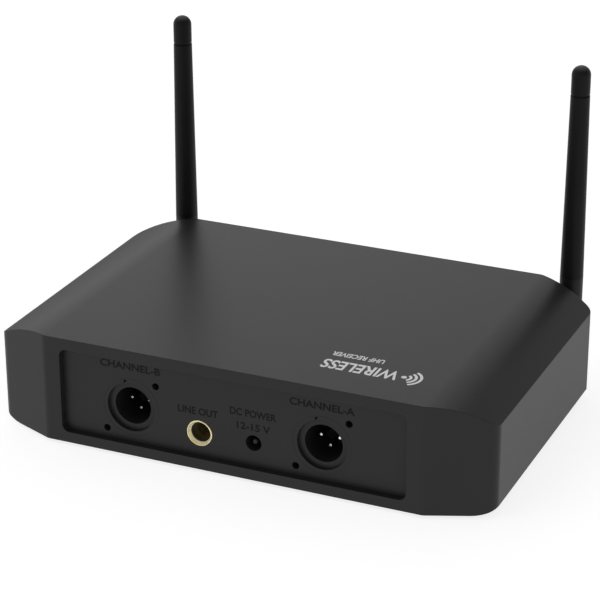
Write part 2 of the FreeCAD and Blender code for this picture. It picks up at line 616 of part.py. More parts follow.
# ---------------------------------------------------------------- front controls
glass = new_body("display_window", 0, floor_front, d.ctrl_z, FRONTWARD)
sk = sketch(glass, "XY_Plane", -1.5)
round_rect(sk, -d.glass_x, -d.glass_z, d.glass_x, d.glass_z, d.glass_rad)
pad(glass, sk, 1.4)
sk = sketch(glass, "XY_Plane", -2.5)
rect(sk, -d.glass_x - 1.5, -d.glass_z - 1.5, d.glass_x + 1.5, d.glass_z + 1.5)
pad(glass, sk, 1)
node(glass, "display_window")
bezel = new_body("display_bezel", 0, floor_front, d.ctrl_z, FRONTWARD)
sk = sketch(bezel, "XY_Plane", 0)
round_rect(sk, -d.glass_x - 2, -d.glass_z - 2, d.glass_x + 2, d.glass_z + 2, d.glass_rad + 2)
round_rect(sk, -d.glass_x - 0.1, -d.glass_z - 0.1, d.glass_x + 0.1, d.glass_z + 0.1, d.glass_rad)
p = pad(bezel, sk, 0.6)
doc.recompute()
ch = bezel.newObject("PartDesign::Chamfer", "display_bezel_chamfer")
ch.Base = (p, ["Edge%d" % (i + 1) for i, e in enumerate(p.Shape.Edges)
               if abs(e.BoundBox.ZMin - 0.6) < 1e-4 and abs(e.BoundBox.ZMax - 0.6) < 1e-4])
ch.Size = 0.3
bezel.Tip = ch
node(bezel, "display_bezel")
yb = floor_front + d.front_board_gap
node(box("display_module", -22.2, 22.2, floor_front + 2.6, yb, d.ctrl_z - 11.2, d.ctrl_z + 11.2), "display_module")

lamps = []
for i, (x, z) in enumerate(((-d.set_x - d.lamp_off, d.lamp_z), (-d.set_x + d.lamp_off, d.lamp_z), (d.set_x - d.lamp_off, d.lamp_z),
                            (d.set_x + d.lamp_off, d.lamp_z), (d.power_x, d.ctrl_z))):
    lamps.append(turned("lamp_%d" % i, [(0, -d.front_board_gap), (d.lamp_rad, -d.front_board_gap), (d.lamp_rad, -0.7), (0, -0.7 + d.lamp_rad)],
                        x, floor_front, z, FRONTWARD, {2: (d.lamp_rad, 1)}))
node(group("indicator_lights", lamps), "indicator_lights")


def push_button(name, x, z, rad):
    """A cap that travels through the panel, kept in by its rear flange."""
    node(turned(name, [(0, -5.4), (1.5, -5.4), (1.5, -4.6), (rad + 1.2, -4.6), (rad + 1.2, -3.7), (rad, -3.7), (rad, 0.9),
                       (rad - 0.4, 1.3), (0, 1.5)], x, floor_front, z, FRONTWARD), name)


push_button("power_button", -d.power_x, d.ctrl_z, d.power_rad)
push_button("set_button_a", -d.set_x, d.set_z, d.set_rad)
push_button("set_button_b", d.set_x, d.set_z, d.set_rad)
switches = []
for i, (x, z) in enumerate(((-d.power_x, d.ctrl_z), (-d.set_x, d.set_z), (d.set_x, d.set_z))):
    switches.append(fuse("switch_%d" % i, [box("switch_box_%d" % i, x - 3, x + 3, floor_front + 6.7, yb, z - 3, z + 3),
                                           cyl("switch_key_%d" % i, 1.7, -6.8, -6.2, x, floor_front, z, FRONTWARD)]))
node(group("button_switches", switches), "button_switches")

pots, nuts = [], []
for tag, s in SIDES:
    pots.append(cut("pot_" + tag,
                    fuse("pot_solid_" + tag, [box("pot_box_" + tag, d.knob_x * s - 5.5, d.knob_x * s + 5.5, floor_front + 3.4, yb, d.ctrl_z - 6, d.ctrl_z + 6),
                                              cyl("pot_neck_" + tag, d.bushing_rad, -3.5, 1.4, d.knob_x * s, floor_front, d.ctrl_z, FRONTWARD)]),
                    cyl("pot_bore_" + tag, d.shaft_bore, -8.6, 4, d.knob_x * s, floor_front, d.ctrl_z, FRONTWARD)))
    hexa = doc.addObject("Part::Prism", "nut_hex_" + tag)
    hexa.Polygon = 6
    bind(hexa, "Circumradius", 5.4)
    bind(hexa, "Height", 1.3)
    place(hexa, d.knob_x * s, floor_front - 0.05, d.ctrl_z, FRONTWARD)
    nuts.append(cut("pot_nut_" + tag, hexa, cyl("nut_bore_" + tag, d.bushing_rad + 0.02, -1, 3, d.knob_x * s, floor_front, d.ctrl_z, FRONTWARD)))
    node(turned("volume_shaft_" + tag, [(0, -8.4), (d.shaft_rad, -8.4), (d.shaft_rad, 9), (0, 9)],
                d.knob_x * s, floor_front, d.ctrl_z, FRONTWARD), "volume_shaft_" + tag)
    # knob: fluted grip, dished face, hollow back over the nut, a pointer slot at the top
    end = d.knob_gap + d.knob_long
    knob = turned("volume_knob_" + tag,
                  [(d.shaft_rad + 0.02, 3), (d.knob_hollow, 3), (d.knob_hollow, d.knob_gap), (d.knob_rad, d.knob_gap), (d.knob_rad, d.knob_gap + 1.2),
                   (d.knob_rad - 0.5, d.knob_gap + 1.6), (d.knob_rad - 0.9, end - 0.8), (d.knob_rad - 1.7, end), (d.knob_rad - 2.6, end),
                   (0, end - 0.5), (0, 9.2), (d.shaft_rad + 0.02, 9.2)],
                  d.knob_x * s, floor_front, d.ctrl_z, FRONTWARD)
    sk = sketch(knob, "XY_Plane", end + 1)
    circle(sk, 0, d.knob_rad - 0.3, 0.8)
    fl = pocket(knob, sk, d.knob_long - 0.8)
    pp = knob.newObject("PartDesign::PolarPattern", "volume_knob_%s_flutes" % tag)
    pp.Originals = [fl]
    pp.Axis = (sk, ["N_Axis"])
    pp.Angle = 360.0
    pp.Occurrences = 24
    knob.Tip = pp
    doc.recompute()
    sk = sketch(knob, "XY_Plane", end + 1)
    rect(sk, -0.5, 2.4, 0.5, d.knob_rad - 2.2)
    pocket(knob, sk, 1.9)
    node(knob, "volume_knob_" + tag)
node(group("volume_pots", pots), "volume_pots")
node(group("pot_nuts", nuts), "pot_nuts")

holes, fscrews = [], []
for i, (x, z) in enumerate(((-d.fpost_x, d.fpost_low), (d.fpost_x, d.fpost_low), (-d.fpost_x, d.fpost_high), (d.fpost_x, d.fpost_high))):
    holes.append(cyl("fhole_%d" % i, 1.3, -13, -9, x, floor_front, z, FRONTWARD))
    fscrews.append(fuse("front_screw_%d" % i, [cyl("fscrew_head_%d" % i, 2.2, -13.3, -11.8, x, floor_front, z, FRONTWARD),
                                               cyl("fscrew_shank_%d" % i, 1.05, -11.8, -4.6, x, floor_front, z, FRONTWARD)]))
node(cut("front_board", box("front_board_blank", -64.0, 64.0, yb, yb + d.board_thick, 7.9, 36.4), fuse("front_board_holes", holes)), "front_board")
node(group("front_board_screws", fscrews), "front_board_screws")

# ---------------------------------------------------------------- main board and what stands on it
holes = []
for s in (-1, 1):
    for y in (d.post_rear, -d.post_front):
        holes.append(cyl("mhole_%d_%d" % (s + 1, int(y.v > 0)), d.clear_rad, -1, 4, d.post_x * s, y, d.board_low))
node(cut("main_board", box("main_board_blank", -d.board_half, d.board_half, -d.board_front, d.board_rear, d.board_low, board_top),
         fuse("main_board_holes", holes)), "main_board")

modules, shields = [], []
for tag, s in SIDES:
    xs = sorted((32 * s, 72 * s))
    hs = sorted((34 * s, 64 * s))
    cx = 68 * s
    modules.append(fuse("receiver_module_" + tag,
              [box("module_card_" + tag, xs[0], xs[1], -29, -3, board_top + 2.5, board_top + 3.7),
               box("module_pins_f_" + tag, hs[0], hs[1], -28.5, -26, board_top, board_top + 2.6),
               box("module_pins_r_" + tag, hs[0], hs[1], -6, -3.5, board_top, board_top + 2.6),
               cyl("module_socket_" + tag, 1.6, 0, 2, cx, -16, board_top + 3.6)]))
    shields.append(cut("rf_shield_" + tag, box("shield_outer_" + tag, hs[0], hs[1], -27, -5, board_top + 3.7, board_top + 9.2),
             box("shield_inner_" + tag, hs[0] + 0.5, hs[1] - 0.5, -26.5, -5.5, board_top + 2, board_top + 8.7)))
node(group("receiver_modules", modules), "receiver_modules")
node(group("rf_shields", shields), "rf_shields")

node(box("processor_chip", -7, 7, -12, 2, board_top, board_top + 1.6), "processor_chip")
node(group("audio_chips", [box("chip_%d" % i, x, x + 8, y, y + 5, board_top, board_top + 1.7)
                           for i, (x, y) in enumerate(((-30, 8), (-16, 8), (8, 8), (22, 8)))]), "audio_chips")
caps = []
for i, (x, y, r, tall) in enumerate(((-58, 8, 5, 16), (-46, 8, 4, 12), (46, 8, 4, 12), (-24, 24, 4, 12), (0, 24, 3.2, 11), (30, 30, 4, 12), (14, 24, 3.2, 11))):
    caps.append(cyl("cap_%d" % i, r, 0, tall, x, y, board_top))
node(group("filter_capacitors", caps), "filter_capacitors")
sink = new_body("heat_sink", -74, 36, board_top, UP)
sk = sketch(sink, "XY_Plane", 0)
pts = [(0.0, 0.0), (24.0, 0.0)]
x = 24.0
for i in range(6):
    pts += [(x, 10.0), (x - 1.4, 10.0)]
    if i < 5:
        pts += [(x - 1.4, 2.4), (x - 4.52, 2.4)]
    x -= 4.52
outline(sk, pts)
pad(sink, sk, 22)
node(sink, "heat_sink")
node(fuse("voltage_regulator", [box("reg_body", -67, -57, 31.4, 35.9, board_top + 4, board_top + 13),
                                box("reg_tab", -67, -57, 34.7, 35.9, board_top + 13, board_top + 19),
                                box("reg_leg_1", -64.9, -64.1, 33, 33.6, board_top, board_top + 4.2),
                                box("reg_leg_2", -62.4, -61.6, 33, 33.6, board_top, board_top + 4.2),
                                box("reg_leg_3", -59.9, -59.1, 33, 33.6, board_top, board_top + 4.2)]), "voltage_regulator")

# ribbon between the boards: a flat strip on two straight runs and two bends
node(group("ribbon_connectors", [box("ribbon_main", -9, 9, -31, -26, board_top, board_top + 8),
                                 box("ribbon_front", -9, 9, yb + d.board_thick, yb + d.board_thick + 4.5, 26, 31)]), "ribbon_connectors")
ribbon = new_body("ribbon_cable", -8, 0, 0, UP)
sk = sketch(ribbon, "YZ_Plane", 0)
z0, yc = board_top + 8, -28.5
y0 = yb + d.board_thick + 4.5
t = 0.9
outline(sk, [(yc - t / 2, z0), (yc + t / 2, z0), (yc + t / 2, 25.0), (yc + t / 2 - 4.0, 29.0), (y0, 29.0), (y0, 29.0 - t), (yc + t / 2 - 4.0, 29.0 - t), (yc - t / 2, 25.0)],
        {2: (q(4.0), 1), 6: (q(4.0 - t), -1)})
pad(ribbon, sk, 16)
node(ribbon, "ribbon_cable")


def arc_path(points, radii):
    """Straight runs joined by tangent arcs: the corner at each inner point gets its radius."""
    edges = []
    start = points[0]
    for i in range(1, len(points) - 1):
        a, p, b = points[i - 1], points[i], points[i + 1]
        u, w = (a - p).normalize(), (b - p).normalize()
        angle = u.getAngle(w)
        reach = radii[i - 1] / math.tan(angle / 2)
        s, e = p + u * reach, p + w * reach
        bis = (u + w).normalize()
        mid = p + bis * (radii[i - 1] / math.sin(angle / 2) - radii[i - 1])
        edges.append(Part.LineSegment(start, s).toShape())
        edges.append(Part.Arc(s, mid, e).toShape())
        start = e
    edges.append(Part.LineSegment(start, points[-1]).toShape())
    return Part.Wire(edges)


leads = []
for tag, s in SIDES:
    pts = [Vector(s * d.ant_x.v, -40.6, d.hinge_z.v), Vector(s * d.ant_x.v, -31, d.hinge_z.v), Vector(s * 74, -20, 21.5), Vector(s * 68, -16, 20), Vector(s * 68, -16, board_top.v + 5.62)]
    wire = arc_path(pts, [7.0, 3.5, 2.4])
    profile = Part.Wire([Part.Circle(pts[0], Vector(0, 1, 0), 0.7).toShape()])
    lead = doc.addObject("Part::Feature", "coax_lead_" + tag)
    lead.Shape = wire.makePipeShell([profile], True, False)
    leads.append(lead)
node(group("coax_leads", leads), "coax_leads")

# ---------------------------------------------------------------- antennas
bushes, nuts = [], []
for tag, s in SIDES:
    x = d.ant_x * s
    # fixed bushing: flange on the seat, threaded tube through the wall
    bushes.append(turned("antenna_bushing_" + tag,
                         [(d.barrel_rad + 0.05, 42.5), (d.barrel_rad + 0.05, d.seat_y + 1.5), (d.seat_rad - 0.8, d.seat_y + 1.5), (d.seat_rad - 0.5, d.seat_y + 1.2),
                          (d.seat_rad - 0.5, d.seat_y), (d.tube_rad, d.seat_y), (d.tube_rad, 42.5)],
                         x, 0, d.hinge_z, FRONTWARD))
    hexa = doc.addObject("Part::Prism", "antenna_hex_" + tag)
    hexa.Polygon = 6
    bind(hexa, "Circumradius", 6.3)
    bind(hexa, "Height", 2.2)
    place(hexa, x, -43.75, d.hinge_z, FRONTWARD)
    nuts.append(cut("antenna_nut_" + tag, hexa, cyl("antenna_nut_bore_" + tag, d.tube_rad + 0.02, 0, 6, x, -42, d.hinge_z, FRONTWARD)))

    # swivel: barrel in the bushing, fork with two ears around the hinge
    swivel = turned("antenna_swivel_" + tag,
                    [(0, 41.3), (2.6, 41.3), (2.6, 42.4), (d.barrel_rad, 42.4), (d.barrel_rad, d.seat_y + 1.7), (d.knuckle_rad - 0.3, d.seat_y + 1.7), (d.knuckle_rad, d.seat_y + 2),
                     (d.knuckle_rad, d.fork_web + 0.4), (0, d.fork_web + 0.4)],
                    x, 0, d.hinge_z, FRONTWARD)
    # ears: a stadium seen along X, padded across the knuckle, then slotted for the tongue
    sk = sketch(swivel, "YZ_Plane", -d.knuckle_rad)
    w = d.knuckle_rad
    outline(sk, [(-w, d.fork_web), (w, d.fork_web), (w, d.ant_y), (-w, d.ant_y)], {2: (w, 1)})
    pad(swivel, sk, d.knuckle_rad * 2)
    sk = sketch(swivel, "XZ_Plane", d.knuckle_rad + 2)
    rect(sk, -d.slot_half, d.fork_web, d.slot_half, d.ant_y + d.knuckle_rad + 2)
    pocket(swivel, sk, d.knuckle_rad * 2 + 4)
    sk = sketch(swivel, "YZ_Plane", d.knuckle_rad + 2)
    circle(sk, 0, d.ant_y, d.hinge_pin + 0.02)
    pocket(swivel, sk, d.knuckle_rad * 2 + 4)
    sk = sketch(swivel, "XY_Plane", 46)
    circle(sk, 0, 0, 1.0)
    pocket(swivel, sk, 6)
    node(swivel, "antenna_swivel_" + tag)
    node(turned("antenna_clip_" + tag, [(2.62, 41.5), (4.6, 41.5), (4.6, 42.3), (2.62, 42.3)], x, 0, d.hinge_z, FRONTWARD), "antenna_clip_" + tag)
    node(cyl("antenna_pin_" + tag, d.hinge_pin, -d.knuckle_rad + 0.1, d.knuckle_rad - 0.1, x, -d.ant_y, d.hinge_z, Rotation(Vector(0, 1, 0), 90)), "antenna_pin_" + tag)

    # collar: round socket above, tongue with a bored eye below
    coll = turned("antenna_collar_" + tag,
                  [(0, d.collar_start), (d.collar_rad - 0.4, d.collar_start), (d.collar_rad, d.collar_start + 0.4), (d.collar_rad, d.collar_top),
                   (2.6, d.collar_top), (2.6, d.collar_top + 4), (0, d.collar_top + 4)],
                  x, -d.ant_y, 0, UP)
    sk = sketch(coll, "YZ_Plane", -d.tongue_half)
    w = d.tongue_rad
    outline(sk, [(w, d.hinge_z), (w, d.collar_start + 0.6), (-w, d.collar_start + 0.6), (-w, d.hinge_z)], {3: (w, 1)})
    pad(coll, sk, d.tongue_half * 2)
    sk = sketch(coll, "YZ_Plane", d.tongue_half + 1)
    circle(sk, 0, d.hinge_z, d.hinge_pin + 0.05)
    pocket(coll, sk, d.tongue_half * 2 + 2)
    sk = sketch(coll, "XY_Plane", d.collar_top + 5)
    circle(sk, 0, 0, 1.02)
    pocket(coll, sk, 9.5)
    node(coll, "antenna_collar_" + tag)
    # whip: tapered sleeve, rod inside, round cap with a groove below it
    node(turned("antenna_sleeve_" + tag,
                [(2.65, d.collar_top), (d.whip_low, d.collar_top), (d.whip_high, d.groove_low), (2.2, d.groove_low), (2.2, d.groove_low - 4), (1.6, d.groove_low - 4),
                 (1.6, d.collar_top + 4.3), (2.65, d.collar_top + 4.3)], x, -d.ant_y, 0, UP), "antenna_sleeve_" + tag)
    node(turned("antenna_tip_" + tag,
                [(0, d.groove_low - 3.8), (2.15, d.groove_low - 3.8), (2.15, d.groove_low), (d.groove_rad, d.groove_low), (d.groove_rad, d.groove_high),
                 (d.tip_rad, d.groove_high), (d.tip_rad, d.whip_tip - d.tip_rad), (0, d.whip_tip)],
                x, -d.ant_y, 0, UP, {6: (d.tip_rad, 1)}), "antenna_tip_" + tag)
    node(cyl("antenna_rod_" + tag, 1.0, 35.5, d.groove_low - 5, x, -d.ant_y, 0, UP), "antenna_rod_" + tag)
node(group("antenna_bushings", bushes), "antenna_bushings")
node(group("antenna_nuts", nuts), "antenna_nuts")

# ---------------------------------------------------------------- checks and export
doc.recompute()
bad = []
for obj in doc.Objects:
    if any(word in obj.State for word in ("Invalid", "Error")):
        bad.append("%s: %s" % (obj.Name, obj.State))
for obj, name in nodes:
    shape = getattr(obj, "Shape", None)
    if shape is None or shape.isNull() or not shape.isValid() or not shape.Solids:
        bad.append("%s: shape is null, invalid or without a solid" % name)
if len(nodes) > 60 or len(set(n for _, n in nodes)) != len(nodes):
    bad.append("node list: %d names" % len(nodes))
if bad:
    raise SystemExit("\n".join(bad))
os.makedirs("parts", exist_ok=True)
for obj, name in nodes:
    obj.Shape.exportStep("parts/%s.step" % name)
    b = obj.Shape.BoundBox
    print("%-22s solids %2d vol %10.1f  x %7.2f %7.2f  y %7.2f %7.2f  z %7.2f %7.2f" % (name, len(obj.Shape.Solids), obj.Shape.Volume, b.XMin, b.XMax, b.YMin, b.YMax, b.ZMin, b.ZMax))
print(len(nodes), "nodes")
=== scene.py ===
import math
import bpy
import bmesh
from mathutils import Matrix, Vector


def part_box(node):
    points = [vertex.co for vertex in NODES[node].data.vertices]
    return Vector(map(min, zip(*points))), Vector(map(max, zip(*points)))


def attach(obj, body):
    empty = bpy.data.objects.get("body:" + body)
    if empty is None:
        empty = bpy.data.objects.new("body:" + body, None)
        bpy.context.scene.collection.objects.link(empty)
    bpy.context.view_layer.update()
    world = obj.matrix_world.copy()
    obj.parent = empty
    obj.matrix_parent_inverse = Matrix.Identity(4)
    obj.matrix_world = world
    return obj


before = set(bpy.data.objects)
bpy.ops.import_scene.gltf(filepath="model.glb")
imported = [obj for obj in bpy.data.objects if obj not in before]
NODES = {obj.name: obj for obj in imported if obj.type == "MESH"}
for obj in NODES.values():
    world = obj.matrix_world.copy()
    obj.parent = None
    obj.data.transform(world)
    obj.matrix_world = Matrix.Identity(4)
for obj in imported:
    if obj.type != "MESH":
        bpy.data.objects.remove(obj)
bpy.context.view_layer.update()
MM = 0.001
scene = bpy.context.scene


# ---------------------------------------------------------------- helpers

def mid(name):
    lo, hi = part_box(name)
    return (lo + hi) / 2


def low(name):
    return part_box(name)[0]


def high(name):
    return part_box(name)[1]


# ---------------------------------------------------------------- materials

class Tree:
    """A small builder of one material's node tree."""

    def __init__(self, name):
        self.mat = bpy.data.materials.new(name)
        self.mat.use_nodes = True
        self.nt = self.mat.node_tree
        self.nt.nodes.clear()
        self.out = self.nt.nodes.new("ShaderNodeOutputMaterial")
        self.bsdf = self.nt.nodes.new("ShaderNodeBsdfPrincipled")
        self.link(self.bsdf.outputs["BSDF"], self.out.inputs["Surface"])
        self.coord = self.nt.nodes.new("ShaderNodeTexCoord").outputs["Object"]

    def link(self, a, b):
        self.nt.links.new(a, b)

    def put(self, name, value):
        self.bsdf.inputs[name].default_value = value
        return self

    def noise(self, scale, detail=2.0, rough=0.5, stretch=None):
        source = self.coord
        if stretch:
            m = self.nt.nodes.new("ShaderNodeMapping")
            m.inputs["Scale"].default_value = stretch
            self.link(source, m.inputs["Vector"])
            source = m.outputs["Vector"]
        n = self.nt.nodes.new("ShaderNodeTexNoise")
        n.inputs["Scale"].default_value = scale
        n.inputs["Detail"].default_value = detail
        n.inputs["Roughness"].default_value = rough
        self.link(source, n.inputs["Vector"])
        return n.outputs["Fac"]

    def cells(self, scale):
        n = self.nt.nodes.new("ShaderNodeTexVoronoi")
        n.inputs["Scale"].default_value = scale
        self.link(self.coord, n.inputs["Vector"])
        return n.outputs["Distance"]

    def ramp(self, fac, a, b, p0=0.3, p1=0.7):
        r = self.nt.nodes.new("ShaderNodeValToRGB")
        r.color_ramp.elements[0].position = p0
        r.color_ramp.elements[1].position = p1
        r.color_ramp.elements[0].color = (*a, 1)
        r.color_ramp.elements[1].color = (*b, 1)
        self.link(fac, r.inputs["Fac"])
        return r.outputs["Color"]

    def span(self, fac, lo, hi, f0=0.3, f1=0.7):
        m = self.nt.nodes.new("ShaderNodeMapRange")
        m.inputs["From Min"].default_value = f0
        m.inputs["From Max"].default_value = f1
        m.inputs["To Min"].default_value = lo
        m.inputs["To Max"].default_value = hi
        self.link(fac, m.inputs["Value"])
        return m.outputs["Result"]

    def math(self, op, a, b=None):
        m = self.nt.nodes.new("ShaderNodeMath")
        m.operation = op
        for i, v in enumerate([a, b]):
            if v is None:
                continue
            if isinstance(v, (int, float)):
                m.inputs[i].default_value = v
            else:
                self.link(v, m.inputs[i])
        return m.outputs["Value"]

    def mix(self, fac, a, b):
        m = self.nt.nodes.new("ShaderNodeMix")
        m.data_type = "RGBA"
        self.link(fac, m.inputs["Factor"])
        for v, s in ((a, m.inputs[6]), (b, m.inputs[7])):
            if isinstance(v, tuple):
                s.default_value = (*v, 1)
            else:
                self.link(v, s)
        return m.outputs[2]

    def axis(self, which):
        s = self.nt.nodes.new("ShaderNodeSeparateXYZ")
        self.link(self.coord, s.inputs["Vector"])
        return s.outputs[which]

    def edge(self, radius):
        """1 near a sharp edge, 0 on open faces, from the rounded normal."""
        b = self.nt.nodes.new("ShaderNodeBevel")
        b.samples = 4
        b.inputs["Radius"].default_value = radius
        g = self.nt.nodes.new("ShaderNodeNewGeometry")
        d = self.nt.nodes.new("ShaderNodeVectorMath")
        d.operation = "DOT_PRODUCT"
        self.link(b.outputs["Normal"], d.inputs[0])
        self.link(g.outputs["True Normal"], d.inputs[1])
        return self.span(d.outputs["Value"], 1.0, 0.0, 0.80, 0.98)

    def bump(self, height, strength, distance, below=None):
        b = self.nt.nodes.new("ShaderNodeBump")
        b.inputs["Strength"].default_value = strength
        b.inputs["Distance"].default_value = distance
        self.link(height, b.inputs["Height"])
        if below is not None:
            self.link(below, b.inputs["Normal"])
        return b.outputs["Normal"]

    def soften(self, radius, samples=6):
        b = self.nt.nodes.new("ShaderNodeBevel")
        b.samples = samples
        b.inputs["Radius"].default_value = radius
        return b.outputs["Normal"]


def plastic(name, dark, light, rough, ior, grain=5200.0, depth=0.000012, strength=0.25, soft=0.0003, wear=0.0, cloud=42.0, graze=0.0):
    """Moulded plastic: a faint drift of tone, spark-eroded grain, softened edges and a little wear on them."""
    t = Tree(name)
    drift = t.noise(cloud, 4.0, 0.55)
    colour = t.ramp(drift, dark, light)
    fine = t.noise(grain, 3.0, 0.6)
    if wear > 0:
        e = t.edge(soft * 1.5)
        spots = t.math("MULTIPLY", e, t.span(t.noise(300.0, 3.0), 0.0, wear, 0.35, 0.7))
        colour = t.mix(spots, colour, tuple(c * 2.4 for c in light))
    t.link(colour, t.bsdf.inputs["Base Color"])
    r = t.span(t.noise(1500.0, 3.0), rough - 0.018, rough + 0.022)
    if graze:
        w = t.nt.nodes.new("ShaderNodeLayerWeight")
        w.inputs["Blend"].default_value = 0.5
        r = t.math("ADD", r, t.span(w.outputs["Facing"], 0.0, graze, 0.685, 0.87))
    t.link(r, t.bsdf.inputs["Roughness"])
    base = t.soften(soft) if soft else None
    t.link(t.bump(fine, strength, depth, base), t.bsdf.inputs["Normal"])
    t.put("IOR", ior)
    return t.mat


def metal(name, dark, light, rough, brushed=None, soft=0.00015, scale=900.0):
    t = Tree(name)
    grain = t.noise(scale, 3.0, 0.6, brushed)
    t.link(t.ramp(grain, dark, light), t.bsdf.inputs["Base Color"])
    t.link(t.span(grain, rough - 0.05, rough + 0.07), t.bsdf.inputs["Roughness"])
    t.link(t.bump(grain, 0.2, 0.00001, t.soften(soft) if soft else None), t.bsdf.inputs["Normal"])
    t.put("Metallic", 1.0)
    return t.mat


def g(v):
    return (v, v, v)


MAT = {}
MAT["housing_plastic"] = plastic("housing_plastic", g(0.0169), g(0.0184), 0.36, 1.282, wear=0.35, graze=0.22)
MAT["panel_plastic"] = plastic("panel_plastic", g(0.0162), g(0.0177), 0.37, 1.282, graze=0.22, soft=None)
MAT["black_screw"] = metal("black_screw", g(0.03), g(0.055), 0.42)
MAT["bright_screw"] = metal("bright_screw", g(0.52), g(0.66), 0.26)
MAT["foot_rubber"] = plastic("foot_rubber", g(0.010), g(0.016), 0.72, 1.38, grain=2600.0, depth=0.00004, strength=0.5, cloud=120.0)


def socket(name, face_y):
    """The shell's face has the panel's tone; down in the cavity the base colour turns a slightly darker, more mottled
    grey, painted shade of the cavity.
    """
    t = Tree(name)
    y = t.axis("Y")
    # painted shade: this mask turns the colour darker from the face down into the cavity
    deep = t.span(y, 1.0, 0.0, face_y - 2.6 * MM, face_y - 1.9 * MM)
    face = t.ramp(t.noise(42.0, 4.0, 0.55), g(0.0160), g(0.0175))
    cavity_shade = t.ramp(t.noise(300.0, 3.0), g(0.0130), g(0.0180))
    t.link(t.mix(deep, face, cavity_shade), t.bsdf.inputs["Base Color"])
    t.link(t.span(t.noise(1500.0, 3.0), 0.37, 0.41), t.bsdf.inputs["Roughness"])
    t.link(t.bump(t.noise(5200.0, 3.0, 0.6), 0.25, 0.000012), t.bsdf.inputs["Normal"])
    t.put("IOR", 1.282)
    return t.mat


def lip(name, face_y):
    """Gilt ring: gilt lip, and deeper in the throat a paler, less metallic copy of the gilt, painted light; behind it a
    brown ledge and bore, brown partly oxide and partly painted shade, painted darker still further down the bore.
    """
    t = Tree(name)
    y = t.axis("Y")
    deep = t.span(y, 1.0, 0.0, face_y - 1.48 * MM, face_y - 1.38 * MM)
    wall = t.span(y, 1.0, 0.0, face_y - 0.35 * MM, face_y - 0.05 * MM)
    grain = t.noise(900.0, 3.0, 0.6, (1, 0.2, 1))
    # painted light: deeper in the throat the gilt is a paler copy
    gilt = t.mix(wall, t.ramp(grain, (0.84, 0.75, 0.43), (0.95, 0.86, 0.52)), t.ramp(grain, (0.90, 0.79, 0.48), (0.98, 0.88, 0.56)))
    # painted shade: the brown darkens further down the bore
    bore_shade_mask = t.span(y, 1.0, 0.0, face_y - 4.2 * MM, face_y - 1.55 * MM)
    ledge = t.mix(bore_shade_mask, t.ramp(grain, (0.0085, 0.0065, 0.0026), (0.0120, 0.0092, 0.0038)), t.ramp(grain, (0.105, 0.082, 0.033), (0.140, 0.110, 0.046)))
    t.link(t.mix(deep, gilt, ledge), t.bsdf.inputs["Base Color"])
    rough = t.math("ADD", t.span(grain, 0.20, 0.30), t.math("MULTIPLY", wall, 0.20))
    t.link(t.math("ADD", rough, t.math("MULTIPLY", deep, 0.25)), t.bsdf.inputs["Roughness"])
    t.link(t.span(t.math("ADD", deep, t.math("MULTIPLY", wall, 0.80)), 1.0, 0.0, 0.0, 1.0), t.bsdf.inputs["Metallic"])
    t.link(t.bump(grain, 0.15, 0.00001, t.soften(0.00015)), t.bsdf.inputs["Normal"])
    t.put("IOR", 1.35)
    return t.mat


def contacts(name, tip_y):
    """Contact pins: bright metal at the rounded tips; further back the base colour is near black, painted shade of the
    socket's inside, and rougher.
    """
    t = Tree(name)
    shank_shade_mask = t.span(t.axis("Y"), 1.0, 0.0, tip_y - 0.16 * MM, tip_y - 0.04 * MM)
    grain = t.noise(1400.0, 3.0, 0.6)
    # painted shade: behind the tips the pins' colour is near black
    t.link(t.mix(shank_shade_mask, t.ramp(grain, g(0.80), g(0.92)), t.ramp(grain, g(0.015), g(0.03))), t.bsdf.inputs["Base Color"])
    t.link(t.math("ADD", t.span(grain, 0.15, 0.22), t.math("MULTIPLY", shank_shade_mask, 0.35)), t.bsdf.inputs["Roughness"])
    t.link(t.bump(grain, 0.1, 0.000006), t.bsdf.inputs["Normal"])
    t.put("Metallic", 1.0)
    return t.mat


def crown(name, top_z):
    """The whip's rubber, with a painted highlight: its rounded crown is painted paler."""
    t = Tree(name)
    # painted highlight: the base colour turns paler towards the top of the dome
    highlight_mask = t.span(t.axis("Z"), 0.0, 1.0, top_z - 2.0 * MM, top_z - 0.1 * MM)
    highlight_patch = t.math("MULTIPLY", t.math("MULTIPLY", highlight_mask, highlight_mask), t.span(t.noise(700.0, 3.0), 0.75, 1.0, 0.3, 0.7))
    rubber = t.ramp(t.noise(42.0, 4.0, 0.55), g(0.0048), g(0.0064))
    t.link(t.mix(highlight_patch, rubber, t.ramp(t.noise(400.0, 3.0), g(0.115), g(0.140))), t.bsdf.inputs["Base Color"])
    t.link(t.span(t.noise(1500.0, 3.0), 0.422, 0.462), t.bsdf.inputs["Roughness"])
    t.link(t.bump(t.noise(4200.0, 3.0, 0.6), 0.3, 0.000012, t.soften(0.0003)), t.bsdf.inputs["Normal"])
    t.put("IOR", 1.21)
    return t.mat


MAT["tip_rubber_painted_highlight"] = crown("tip_rubber_painted_highlight", high("antenna_tip_a").z)
REAR_FLOOR = high("xlr_shell_a").y
FRONT_FLOOR = low("display_bezel").y + 0.6 * MM
MAT["socket_plastic"] = socket("socket_plastic", REAR_FLOOR)
MAT["gold_bushing"] = lip("gold_bushing", high("mix_jack_bushing").y)
MAT["contact_metal"] = contacts("contact_metal", high("xlr_pins_a").y)
# painted shade: the DC socket's pin is near-black metal, standing in for the shade deep in the jack
MAT["pin_painted_shade"] = metal("pin_painted_shade", g(0.030), g(0.050), 0.55)
